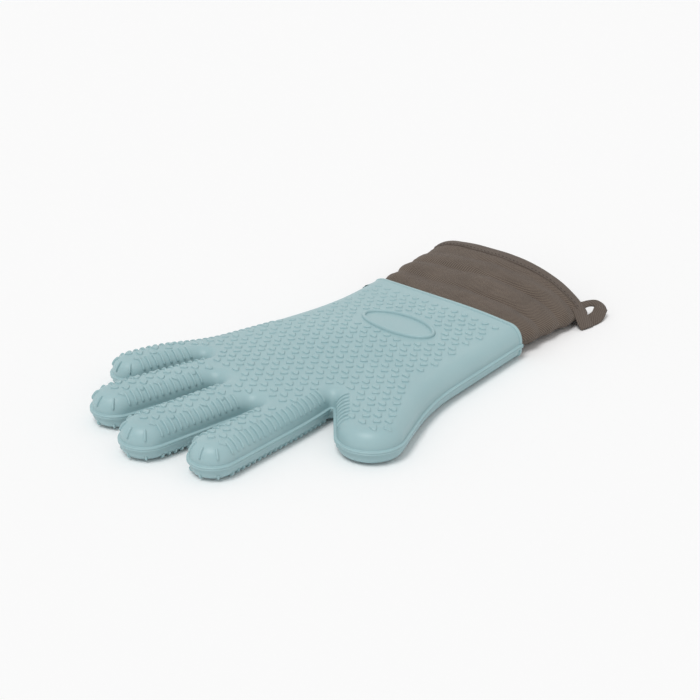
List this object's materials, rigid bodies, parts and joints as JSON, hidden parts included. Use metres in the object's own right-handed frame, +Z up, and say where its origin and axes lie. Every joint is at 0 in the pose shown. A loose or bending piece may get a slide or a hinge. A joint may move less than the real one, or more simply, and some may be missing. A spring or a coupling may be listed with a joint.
{
  "type": "silicone oven glove",
  "caption": "Five-fingered silicone oven glove with a raised grip pattern, parting flange, cotton liner, padded twill cuff, bound hem and hanging loop.",
  "frame": {"origin": "middle of the glove's footprint, on the table it lies on", "axes": "+X from the fingertips to the cuff's mouth, +Y from the thumb to the little finger, +Z up off the table through the back of the hand"},
  "size_m": [0.358, 0.2044, 0.0259],
  "materials": {
    "silicone": "satin moulded silicone",
    "liner_cotton": "woven cotton",
    "cuff_twill": "cotton twill",
    "wadding": "polyester wadding",
    "cuff_lining": "plain woven cotton",
    "binding_tape": "folded twill tape"
  },
  "bodies": {
    "glove": {"silicone_back_half": "silicone", "silicone_palm_half": "silicone", "liner_back_panel": "liner_cotton", "liner_palm_panel": "liner_cotton", "cuff_back_panel": "cuff_twill", "cuff_palm_panel": "cuff_twill", "cuff_back_wadding": "wadding", "cuff_palm_wadding": "wadding", "cuff_back_lining": "cuff_lining", "cuff_palm_lining": "cuff_lining", "hem_binding": "binding_tape"},
    "loop": {"hanging_loop": "binding_tape"}
  },
  "joints": [
    {"name": "loop_swing", "type": "hinge", "parent": "glove", "child": "loop", "pos_m": [0.15805, -0.03365, 0.01236], "axis": [-1, 0, 0], "range_deg": [0, 95]}
  ]
}
